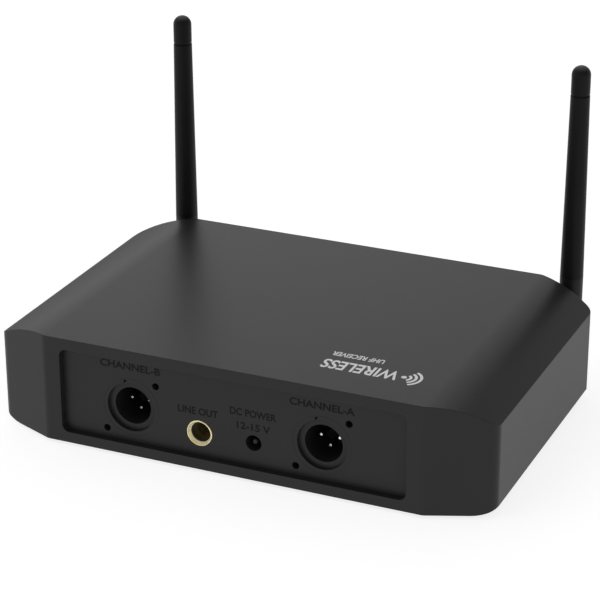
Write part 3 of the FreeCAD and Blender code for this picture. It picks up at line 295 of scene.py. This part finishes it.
# the phone socket's contact carrier is brown laminate, seen only down its bore
MAT["jack_laminate"] = plastic("jack_laminate", (0.26, 0.20, 0.09), (0.33, 0.26, 0.12), 0.55, 1.40, soft=None, cloud=900.0)
MAT["bezel_gloss"] = plastic("bezel_gloss", g(0.005), g(0.008), 0.12, 1.45, grain=900.0, depth=0.000004, strength=0.08)
MAT["switch_plastic"] = plastic("switch_plastic", g(0.018), g(0.028), 0.45, 1.4)
MAT["pot_metal"] = metal("pot_metal", g(0.44), g(0.58), 0.34, (1, 0.1, 1))
MAT["shield_steel"] = metal("shield_steel", g(0.56), g(0.68), 0.30, (0.08, 1, 1))
MAT["chip_black"] = plastic("chip_black", g(0.012), g(0.020), 0.55, 1.45, grain=4200.0, depth=0.00002, strength=0.4)
MAT["heat_sink_metal"] = metal("heat_sink_metal", g(0.05), g(0.09), 0.45, (1, 1, 0.05))
MAT["connector_plastic"] = plastic("connector_plastic", (0.62, 0.59, 0.50), (0.72, 0.69, 0.60), 0.42, 1.45)
MAT["coax_jacket"] = plastic("coax_jacket", g(0.012), g(0.020), 0.40, 1.45)
MAT["button_plastic"] = plastic("button_plastic", g(0.012), g(0.018), 0.42, 1.36)
MAT["knob_plastic"] = plastic("knob_plastic", g(0.011), g(0.017), 0.40, 1.36)
MAT["antenna_base_plastic"] = plastic("antenna_base_plastic", g(0.0100), g(0.0130), 0.42, 1.25)
MAT["antenna_rubber"] = plastic("antenna_rubber", g(0.0048), g(0.0064), 0.44, 1.21, grain=4200.0, depth=0.000012, strength=0.3)
MAT["radiator_brass"] = metal("radiator_brass", (0.62, 0.42, 0.16), (0.76, 0.54, 0.24), 0.28)


def board():
    t = Tree("circuit_board")
    lines = t.nt.nodes.new("ShaderNodeTexWave")
    lines.wave_type = "BANDS"
    lines.inputs["Scale"].default_value = 260.0
    lines.inputs["Distortion"].default_value = 9.0
    lines.inputs["Detail"].default_value = 1.0
    t.link(t.coord, lines.inputs["Vector"])
    tracks = t.ramp(lines.outputs["Fac"], (0.006, 0.060, 0.026), (0.014, 0.115, 0.050), 0.46, 0.54)
    t.link(tracks, t.bsdf.inputs["Base Color"])
    t.link(t.span(t.noise(300.0), 0.32, 0.42), t.bsdf.inputs["Roughness"])
    t.link(t.bump(lines.outputs["Fac"], 0.3, 0.00003), t.bsdf.inputs["Normal"])
    t.put("IOR", 1.5)
    return t.mat


MAT["circuit_board"] = board()


def ribbon():
    t = Tree("ribbon_grey")
    w = t.nt.nodes.new("ShaderNodeTexWave")
    w.bands_direction = "X"
    w.inputs["Scale"].default_value = 250.0
    t.link(t.coord, w.inputs["Vector"])
    t.link(t.ramp(w.outputs["Fac"], g(0.26), g(0.46), 0.1, 0.6), t.bsdf.inputs["Base Color"])
    t.link(t.span(t.noise(220.0), 0.40, 0.5), t.bsdf.inputs["Roughness"])
    t.link(t.bump(w.outputs["Fac"], 0.6, 0.0002), t.bsdf.inputs["Normal"])
    return t.mat


MAT["ribbon_grey"] = ribbon()


def capacitor():
    t = Tree("capacitor_sleeve")
    t.link(t.ramp(t.noise(180.0, 3.0), (0.010, 0.012, 0.030), (0.020, 0.022, 0.050)), t.bsdf.inputs["Base Color"])
    t.link(t.span(t.noise(400.0), 0.22, 0.30), t.bsdf.inputs["Roughness"])
    t.link(t.bump(t.noise(1800.0), 0.15, 0.00002, t.soften(0.0003)), t.bsdf.inputs["Normal"])
    return t.mat


MAT["capacitor_sleeve"] = capacitor()


def window():
    """Smoked clear plastic: the light from the display passes through it."""
    t = Tree("smoked_window")
    t.link(t.ramp(t.noise(60.0, 3.0), (0.40, 0.41, 0.44), (0.46, 0.47, 0.50)), t.bsdf.inputs["Base Color"])
    t.link(t.span(t.noise(240.0), 0.010, 0.025), t.bsdf.inputs["Roughness"])
    t.put("Transmission Weight", 1.0)
    t.put("IOR", 1.49)
    return t.mat


def panel_glass():
    """The module's dark face, an unlit display."""
    t = Tree("display_glass")
    t.link(t.ramp(t.noise(90.0, 3.0), (0.006, 0.009, 0.013), (0.010, 0.014, 0.020)), t.bsdf.inputs["Base Color"])
    t.link(t.span(t.noise(240.0), 0.16, 0.24), t.bsdf.inputs["Roughness"])
    t.put("IOR", 1.45)
    return t.mat


MAT["smoked_window"] = window()


def lamp():
    t = Tree("lamp_lens")
    speck = t.noise(700.0, 3.0)
    t.link(t.ramp(speck, (0.10, 0.30, 0.11), (0.15, 0.42, 0.17)), t.bsdf.inputs["Base Color"])
    t.link(t.ramp(speck, (0.08, 0.62, 0.12), (0.14, 0.85, 0.20)), t.bsdf.inputs["Emission Color"])
    t.put("Emission Strength", 0.45)
    t.link(t.span(t.noise(900.0), 0.14, 0.24), t.bsdf.inputs["Roughness"])
    t.put("IOR", 1.49)
    return t.mat


MAT["lamp_lens"] = lamp()
MAT["display_glass"] = panel_glass()

for name, obj in NODES.items():
    for s in obj.material_slots:
        if s.material is not None:
            key = {"dc_jack_pin": "pin_painted_shade", "mix_jack_body": "jack_laminate", "antenna_tip_a": "tip_rubber_painted_highlight", "antenna_tip_b": "tip_rubber_painted_highlight"}.get(name, s.material.name.split(".")[0])
            if key in MAT:
                s.material = MAT[key]
            else:
                print("NO MATERIAL FOR", name, key)


# ---------------------------------------------------------------- new pieces

def ink(name, dark, light, rough, ior=1.3):
    t = Tree(name)
    speck = t.noise(2400.0, 4.0, 0.65)
    t.link(t.ramp(speck, dark, light, 0.25, 0.6), t.bsdf.inputs["Base Color"])
    t.link(t.span(speck, rough - 0.05, rough + 0.08), t.bsdf.inputs["Roughness"])
    t.link(t.bump(speck, 0.25, 0.000008), t.bsdf.inputs["Normal"])
    t.put("IOR", ior)
    return t.mat


def glow(name, colour, strength):
    t = Tree(name)
    speck = t.noise(900.0, 2.0)
    t.link(t.ramp(speck, tuple(c * 0.82 for c in colour), colour), t.bsdf.inputs["Emission Color"])
    t.link(t.ramp(speck, tuple(c * 0.25 for c in colour), tuple(c * 0.35 for c in colour)), t.bsdf.inputs["Base Color"])
    t.link(t.span(speck, 0.35, 0.5), t.bsdf.inputs["Roughness"])
    t.put("Emission Strength", strength)
    return t.mat


MAT["ink_white"] = ink("ink_white", g(0.74), g(0.90), 0.45, 1.45)
MAT["ink_grey"] = ink("ink_grey", g(0.30), g(0.40), 0.5, 1.4)
MAT["ink_dark"] = ink("ink_dark", g(0.0016), g(0.0030), 0.55, 1.22)
MAT["pointer_white"] = ink("pointer_white", g(0.62), g(0.78), 0.4, 1.45)
MAT["display_glow"] = glow("display_glow", (0.42, 0.80, 1.0), 1.3)

REAR = Matrix(((-1, 0, 0), (0, 0, 1), (0, 1, 0)))    # text x -> -X, y -> +Z, normal -> +Y
FRONT = Matrix(((1, 0, 0), (0, 0, -1), (0, 1, 0)))   # text x -> +X, y -> +Z, normal -> -Y
TOP = Matrix.Identity(3)


def finish(bm, name, body, mat, smooth=True):
    bmesh.ops.remove_doubles(bm, verts=bm.verts, dist=1e-7)
    bmesh.ops.recalc_face_normals(bm, faces=bm.faces)
    me = bpy.data.meshes.new(name)
    bm.to_mesh(me)
    bm.free()
    if smooth:
        me.set_sharp_from_angle(angle=math.radians(32))
    me.materials.append(MAT[mat])
    o = bpy.data.objects.new(name, me)
    scene.collection.objects.link(o)
    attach(o, body)
    return o


def glyphs(text, bold):
    """Solid letters of one line as a triangle mesh, thickness 2 units of depth, before fitting."""
    cu = bpy.data.curves.new("line", "FONT")
    cu.body = text
    cu.size = 1.0
    cu.resolution_u = 5
    cu.extrude = 0.5
    cu.offset = bold
    o = bpy.data.objects.new("line", cu)
    scene.collection.objects.link(o)
    bpy.context.view_layer.update()
    me = bpy.data.meshes.new_from_object(o.evaluated_get(bpy.context.evaluated_depsgraph_get()))
    bpy.data.objects.remove(o)
    bpy.data.curves.remove(cu)
    return me


def legend(name, lines, turn, place, body, mat, thick=0.03, bold=0.0):
    """lines: (text, x0, x1, y0, y1) in mm in the text's plane; place: how far along the normal, in metres."""
    bm = bmesh.new()
    for text, x0, x1, y0, y1 in lines:
        me = glyphs(text, bold)
        co = [v.co for v in me.vertices]
        ax, bx = min(c.x for c in co), max(c.x for c in co)
        ay, by = min(c.y for c in co), max(c.y for c in co)
        for v in me.vertices:
            x = x0 + (v.co.x - ax) / (bx - ax) * (x1 - x0)
            y = y0 + (v.co.y - ay) / (by - ay) * (y1 - y0)
            z = thick if v.co.z > 0 else -0.01
            v.co = Vector((x, y, z)) * MM
        bm.from_mesh(me)
        bpy.data.meshes.remove(me)
    n = turn @ Vector((0, 0, 1))
    for v in bm.verts:
        v.co = turn @ v.co + n * place
    return finish(bm, name, body, mat)


def prism(bm, outline, turn, place, low_z, high_z):
    """A flat-sided solid: outline in mm in the plane, from low_z to high_z mm along the normal."""
    n = turn @ Vector((0, 0, 1))
    rings = []
    for z in (low_z, high_z):
        rings.append([bm.verts.new(turn @ (Vector((x, y, z)) * MM) + n * place) for x, y in outline])
    bm.faces.new(rings[1])
    bm.faces.new(list(reversed(rings[0])))
    k = len(outline)
    for i in range(k):
        bm.faces.new((rings[0][i], rings[0][(i + 1) % k], rings[1][(i + 1) % k], rings[1][i]))


def arc_band(cx, cy, r0, r1, a0, a1, steps=24):
    pts = []
    for i in range(steps + 1):
        a = math.radians(a0 + (a1 - a0) * i / steps)
        pts.append((cx + r1 * math.cos(a), cy + r1 * math.sin(a)))
    for i in range(steps, -1, -1):
        a = math.radians(a0 + (a1 - a0) * i / steps)
        pts.append((cx + r0 * math.cos(a), cy + r0 * math.sin(a)))
    return pts


def round_rect(x0, y0, x1, y1, r, steps=6):
    pts = []
    for cx, cy, a in ((x1 - r, y1 - r, 0), (x0 + r, y1 - r, 90), (x0 + r, y0 + r, 180), (x1 - r, y0 + r, 270)):
        for i in range(steps + 1):
            t = math.radians(a + 90 * i / steps)
            pts.append((cx + r * math.cos(t), cy + r * math.sin(t)))
    return pts


TOP_Z = high("top_cover").z
# white print on the lid: a generic radio-wave mark and plain words, read from the front
legend("lid_words", [("WIRELESS", -55.4, -27.4, 45.9, 52.9), ("UHF RECEIVER", -46.9, -27.6, 39.3, 42.5)], TOP, TOP_Z, "housing", "ink_white", bold=0.022)
bm = bmesh.new()
for r0, r1 in ((1.5, 2.5), (3.3, 4.3), (5.1, 6.1)):
    prism(bm, arc_band(-57.9, 49.4, r0, r1, 118, 242), TOP, TOP_Z, -0.01, 0.03)
prism(bm, arc_band(-57.5, 49.4, 0.0001, 1.0, 0, 359.0, 30)[:31], TOP, TOP_Z, -0.01, 0.03)
finish(bm, "lid_waves", "housing", "ink_white")

# rear legends, dark on the dark panel; x is as seen from the rear, so it is -X
legend("rear_legends", [
    ("CHANNEL-B", -50.9, -27.2, 33.4, 36.2),
    ("CHANNEL-A", 22.1, 46.2, 32.4, 35.2),
    ("LINE OUT", -20.6, -5.1, 21.3, 24.1),
    ("DC POWER", -0.5, 17.1, 24.3, 27.1),
    ("12-15 V", 2.1, 14.8, 19.2, 22.0),
], REAR, REAR_FLOOR, "housing", "ink_dark", bold=0.022)

# ---------------------------------------------------------------- fine pieces of the rear sockets

def lathe(name, cx, cz, profile, body, mat, steps=96, sign=1, closed=True):
    """A ring about an axis along Y; profile: (radius, y) in mm, y absolute."""
    bm = bmesh.new()
    rows = []
    for r, y in profile:
        rows.append([bm.verts.new(Vector((cx + r * MM * math.cos(a), y * MM, cz + r * MM * math.sin(a)))) for a in (2 * math.pi * i / steps for i in range(steps))])
    k = len(rows)
    for j in range(k if closed else k - 1):
        a, b = rows[j], rows[(j + 1) % k]
        for i in range(steps):
            bm.faces.new((a[i], a[(i + 1) % steps], b[(i + 1) % steps], b[i]))
    return finish(bm, name, body, mat)


def lathe_z(bm, cx, cy, profile, steps=64):
    """Adds a closed solid of revolution about a vertical axis; profile: (radius, z) in mm, from axis to axis."""
    rows = []
    for r, z in profile:
        if r < 1e-6:
            rows.append([bm.verts.new(Vector((cx * MM, cy * MM, z * MM)))])
        else:
            rows.append([bm.verts.new(Vector((cx + r * math.cos(a), cy + r * math.sin(a), z)) * MM) for a in (2 * math.pi * i / steps for i in range(steps))])
    for a, b in zip(rows, rows[1:]):
        for i in range(steps):
            j = (i + 1) % steps
            if len(a) == 1:
                bm.faces.new((a[0], b[j], b[i]))
            elif len(b) == 1:
                bm.faces.new((a[i], a[j], b[0]))
            else:
                bm.faces.new((a[i], a[j], b[j], b[i]))


floor_mm = REAR_FLOOR * 1000
for tag in "ab":
    c = mid("xlr_shell_" + tag)
    cz = (low("xlr_pins_" + tag).z + high("xlr_pins_" + tag).z) / 2
    # the two side pins stand at the socket's centre height, so the pins' top edge gives it
    cz = high("xlr_pins_" + tag).z - 0.95 * MM
    # thin sealing lip that fills the gap between shell and panel, just below the surface
    lathe("xlr_seal_" + tag, c.x, cz, [(10.86, floor_mm - 0.9), (11.04, floor_mm - 0.9), (11.04, floor_mm - 0.05), (10.95, floor_mm - 0.075), (10.86, floor_mm - 0.05)],
          "housing", "panel_plastic")

# ---------------------------------------------------------------- front: display, knob pointers, legends

front_mm = FRONT_FLOOR * 1000
SEGMENTS = {"0": "abcdef", "1": "bc", "2": "abged", "3": "abgcd", "4": "fgbc", "5": "afgcd", "6": "afgedc", "7": "abc", "8": "abcdefg", "9": "abcdfg"}


def digit(bm, ch, x, y, w, h, t, turn, place, z0, z1):
    """One seven-segment figure with slanted-end bars."""
    m, q = h / 2, t / 2
    bars = {
        "a": ((x, y + h), (x + w, y + h), 0), "g": ((x, y + m), (x + w, y + m), 0), "d": ((x, y), (x + w, y), 0),
        "f": ((x, y + m), (x, y + h), 1), "e": ((x, y), (x, y + m), 1),
        "b": ((x + w, y + m), (x + w, y + h), 1), "c": ((x + w, y), (x + w, y + m), 1),
    }
    gap = t * 0.16
    for s in SEGMENTS[ch]:
        (x0, y0), (x1, y1), up = bars[s]
        if up:
            y0, y1 = y0 + gap, y1 - gap
            pts = [(x0, y0), (x0 + q, y0 + q), (x0 + q, y1 - q), (x0, y1), (x0 - q, y1 - q), (x0 - q, y0 + q)]
        else:
            x0, x1 = x0 + gap, x1 - gap
            pts = [(x0, y0), (x0 + q, y0 - q), (x1 - q, y0 - q), (x1, y0), (x1 - q, y0 + q), (x0 + q, y0 + q)]
        prism(bm, pts, turn, place, z0, z1)


# figures lit on the module's face, seen through the smoked window
face_y = low("display_module").y
cz_mm = mid("display_window").z * 1000
bm = bmesh.new()
for s, number in ((-1, "6452"), (1, "6578")):
    x = 10.5 * s - 7.4
    for i, ch in enumerate(number):
        xx = x + i * 3.7 + (0.9 if i == 3 else 0)
        digit(bm, ch, xx, cz_mm - 1.2, 2.2, 4.6, 0.5, FRONT, -face_y, 0.01, 0.05)
    prism(bm, round_rect(x + 3 * 3.7 - 0.95, cz_mm - 1.5, x + 3 * 3.7 - 0.35, cz_mm - 0.9, 0.12, 3), FRONT, -face_y, 0.01, 0.05)
    for k in range(8):
        lit = k < (6 if s < 0 else 5)
        if lit:
            prism(bm, [(x + k * 1.95, cz_mm - 6.6), (x + k * 1.95 + 1.35, cz_mm - 6.6), (x + k * 1.95 + 1.35, cz_mm - 5.6 + 0.22 * k), (x + k * 1.95, cz_mm - 5.6 + 0.22 * k)], FRONT, -face_y, 0.01, 0.05)
    prism(bm, [(x, cz_mm + 5.0), (x + 15.6, cz_mm + 5.0), (x + 15.6, cz_mm + 5.15), (x, cz_mm + 5.15)], FRONT, -face_y, 0.01, 0.05)
prism(bm, [(-0.1, cz_mm - 7.5), (0.1, cz_mm - 7.5), (0.1, cz_mm + 7.8), (-0.1, cz_mm + 7.8)], FRONT, -face_y, 0.01, 0.05)
finish(bm, "display_figures", "housing", "display_glow")
legend("display_words", [("CH A", -17.9, -13.0, cz_mm + 5.8, cz_mm + 7.5), ("RF", -7.0, -4.6, cz_mm + 5.8, cz_mm + 7.5),
                         ("CH B", 3.1, 8.0, cz_mm + 5.8, cz_mm + 7.5), ("RF", 14.0, 16.4, cz_mm + 5.8, cz_mm + 7.5)],
       FRONT, -face_y, "housing", "display_glow", thick=0.05)

# printed scales round the two volume knobs, and plain legends
bm = bmesh.new()
for tag in "ab":
    kx = mid("volume_knob_" + tag).x * 1000
    kz = mid("volume_knob_" + tag).z * 1000
    for i in range(11):
        a = math.radians(240 - 30 * i)
        r0, r1 = (9.6, 10.9) if i % 5 else (9.6, 11.5)
        ux, uy = math.cos(a), math.sin(a)
        hw = 0.16 if i % 5 else 0.24
        prism(bm, [(kx + ux * r0 - uy * hw, kz + uy * r0 + ux * hw), (kx + ux * r0 + uy * hw, kz + uy * r0 - ux * hw),
                   (kx + ux * r1 + uy * hw, kz + uy * r1 - ux * hw), (kx + ux * r1 - uy * hw, kz + uy * r1 + ux * hw)], FRONT, -FRONT_FLOOR, -0.01, 0.03)
finish(bm, "volume_scales", "housing", "ink_grey")

words = []
for tag, letter in (("a", "A"), ("b", "B")):
    kx = mid("volume_knob_" + tag).x * 1000
    kz = mid("volume_knob_" + tag).z * 1000
    bx = mid("set_button_" + tag).x * 1000
    bz = mid("set_button_" + tag).z * 1000
    words += [("VOLUME " + letter, kx - 5.2, kx + 5.2, kz - 14.2, kz - 12.6), ("0", kx - 8.2, kx - 7.2, kz - 11.9, kz - 10.3), ("10", kx + 6.9, kx + 8.9, kz - 11.9, kz - 10.3)]
    words += [("SET", bx - 1.7, bx + 1.7, bz - 5.6, bz - 4.1)]
    words += [("RF", bx - 4.1, bx - 2.3, bz + 15.0, bz + 16.4), ("AF", bx + 2.3, bx + 4.1, bz + 15.0, bz + 16.4)]
px = mid("power_button").x * 1000
pz = mid("power_button").z * 1000
words += [("POWER", px - 3.2, px + 3.2, pz - 7.9, pz - 6.4), ("ON", -px - 1.3, -px + 1.3, pz + 2.9, pz + 4.3)]
legend("front_legends", words, FRONT, -FRONT_FLOOR, "housing", "ink_grey")

# pointer inlays in the slots of the knob faces, each turning with its knob
for tag in "ab":
    kx = mid("volume_knob_" + tag).x * 1000
    kz = (low("volume_knob_" + tag).z + high("volume_knob_" + tag).z) / 2 * 1000
    bm = bmesh.new()
    prism(bm, [(kx - 0.46, kz + 2.46), (kx + 0.46, kz + 2.46), (kx + 0.46, kz + 6.2), (kx - 0.46, kz + 6.2)], FRONT, -low("volume_knob_" + tag).y, -0.86, -0.28)
    finish(bm, "pointer_" + tag, "volume_" + tag, "pointer_white")

# power symbol on the button's face: a broken ring and a bar
bm = bmesh.new()
prism(bm, arc_band(px, pz, 1.25, 1.6, 125, 415, 36), FRONT, -low("power_button").y, -0.02, 0.03)
prism(bm, [(px - 0.18, pz + 0.5), (px + 0.18, pz + 0.5), (px + 0.18, pz + 1.9), (px - 0.18, pz + 1.9)], FRONT, -low("power_button").y, -0.02, 0.03)
finish(bm, "power_symbol", "power", "ink_grey")

# ---------------------------------------------------------------- stage

def floor():
    bm = bmesh.new()
    bmesh.ops.create_circle(bm, cap_ends=True, segments=96, radius=9.0)
    me = bpy.data.meshes.new("studio_floor")
    bm.to_mesh(me)
    bm.free()
    o = bpy.data.objects.new("studio_floor", me)
    scene.collection.objects.link(o)
    t = Tree("floor_white")
    t.link(t.ramp(t.noise(3.0, 2.0), g(0.425), g(0.435)), t.bsdf.inputs["Base Color"])
    t.put("Roughness", 0.9)
    t.put("Specular IOR Level", 0.0)
    t.put("Emission Color", (1, 1, 1, 1))
    t.put("Emission Strength", 0.80)
    me.materials.append(t.mat)
    return o


floor()

world = bpy.data.worlds.new("studio")
scene.world = world
world.use_nodes = True
wt = world.node_tree
sky = wt.nodes["Background"]
coords = wt.nodes.new("ShaderNodeTexCoord")
parts = wt.nodes.new("ShaderNodeSeparateXYZ")
fall = wt.nodes.new("ShaderNodeValToRGB")
wt.links.new(coords.outputs["Generated"], parts.inputs["Vector"])
wt.links.new(parts.outputs["Z"], fall.inputs["Fac"])
wt.links.new(fall.outputs["Color"], sky.inputs["Color"])
fall.color_ramp.elements[0].position = 0.52
fall.color_ramp.elements[0].color = (1, 1, 1, 1)
fall.color_ramp.elements[1].position = 0.86
fall.color_ramp.elements[1].color = (0.55, 0.55, 0.55, 1)
# the studio is dimmer to one side, above the horizon only
side = wt.nodes.new("ShaderNodeMapRange")
side.interpolation_type = "SMOOTHSTEP"
for key, value in (("From Min", -0.10), ("From Max", 0.52), ("To Min", 0.50), ("To Max", 1.26)):
    side.inputs[key].default_value = value
wt.links.new(parts.outputs["X"], side.inputs["Value"])
rise = wt.nodes.new("ShaderNodeMapRange")
for key, value in (("From Min", 0.04), ("From Max", 0.26), ("To Min", 0.0), ("To Max", 1.0)):
    rise.inputs[key].default_value = value
wt.links.new(parts.outputs["Z"], rise.inputs["Value"])
dip = wt.nodes.new("ShaderNodeMapRange")
dip.interpolation_type = "SMOOTHSTEP"
for key, value in (("From Min", 0.48), ("From Max", 0.64), ("To Min", 1.0), ("To Max", 0.68)):
    dip.inputs[key].default_value = value
wt.links.new(parts.outputs["X"], dip.inputs["Value"])
both = wt.nodes.new("ShaderNodeMath")
both.operation = "MULTIPLY"
wt.links.new(side.outputs["Result"], both.inputs[0])
wt.links.new(dip.outputs["Result"], both.inputs[1])
level = wt.nodes.new("ShaderNodeMix")
level.inputs[2].default_value = 1.0
wt.links.new(rise.outputs["Result"], level.inputs[0])
wt.links.new(both.outputs["Value"], level.inputs[3])
wt.links.new(level.outputs[0], sky.inputs["Strength"])

scene.view_settings.view_transform = "Standard"
scene.view_settings.look = "None"
scene.view_settings.exposure = 0.0
scene.view_settings.gamma = 1.0


def camera():
    data = bpy.data.cameras.new("view")
    data.sensor_fit = "HORIZONTAL"
    data.sensor_width = 36.0
    data.lens = 135.92
    data.clip_start = 0.01
    data.clip_end = 50.0
    o = bpy.data.objects.new("view", data)
    scene.collection.objects.link(o)
    f = Vector((0.3720, -0.8395, -0.3960)).normalized()
    r = f.cross(Vector((0, 0, 1))).normalized()
    u = r.cross(f).normalized()
    a = math.radians(-0.158)
    r2 = math.cos(a) * r + math.sin(a) * u
    u2 = -math.sin(a) * r + math.cos(a) * u
    m = Matrix((r2, u2, -f)).transposed().to_4x4()
    m.translation = Vector((-0.3064, 0.6980, 0.3718))
    o.matrix_world = m
    scene.camera = o


camera()
